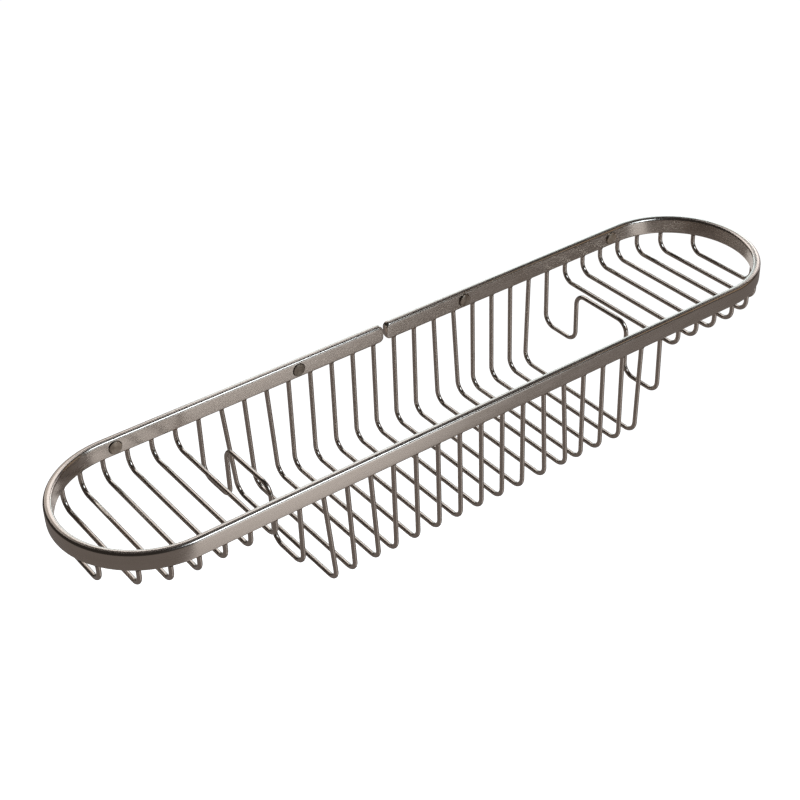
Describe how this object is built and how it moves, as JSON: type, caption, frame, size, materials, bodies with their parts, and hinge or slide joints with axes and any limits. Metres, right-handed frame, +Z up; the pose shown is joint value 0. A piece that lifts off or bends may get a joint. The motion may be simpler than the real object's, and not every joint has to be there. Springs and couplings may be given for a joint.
{
  "type": "shower caddy",
  "caption": "Long oval wall-hung shower caddy: a flat rim bar carries bent wires that form a deep middle basket with a shallow tray at each end.",
  "frame": {"origin": "on the wall plane, at the middle of the rim bar's back run, level with the row of screw holes", "axes": "+X along the caddy, +Y into the wall, +Z up"},
  "size_m": [0.6092, 0.1352, 0.0933],
  "materials": {
    "rim_bar": "satin brushed nickel, grain along the bar",
    "wire": "satin nickel, smooth drawn wire",
    "plug": "nickel, faced on a lathe so that fine rings run round the middle"
  },
  "bodies": {
    "root": {"rim_bar": "rim_bar", "screw_plug_1": "plug", "screw_plug_2": "plug", "screw_plug_3": "plug", "screw_plug_4": "plug", "tray_wire_left_1": "wire", "tray_wire_left_2": "wire", "tray_wire_left_3": "wire", "tray_wire_left_4": "wire", "tray_wire_left_5": "wire", "tray_wire_left_6": "wire", "tray_wire_left_7": "wire", "notched_wire_left": "wire", "basket_wire_01": "wire", "basket_wire_02": "wire", "basket_wire_03": "wire", "basket_wire_04": "wire", "basket_wire_05": "wire", "basket_wire_06": "wire", "basket_wire_07": "wire", "basket_wire_08": "wire", "basket_wire_09": "wire", "basket_wire_10": "wire", "basket_wire_11": "wire", "basket_wire_12": "wire", "basket_wire_13": "wire", "basket_wire_14": "wire", "basket_wire_15": "wire", "basket_wire_16": "wire", "notched_wire_right": "wire", "tray_wire_right_1": "wire", "tray_wire_right_2": "wire", "tray_wire_right_3": "wire", "tray_wire_right_4": "wire", "tray_wire_right_5": "wire", "tray_wire_right_6": "wire", "tray_wire_right_7": "wire"}
  },
  "joints": []
}
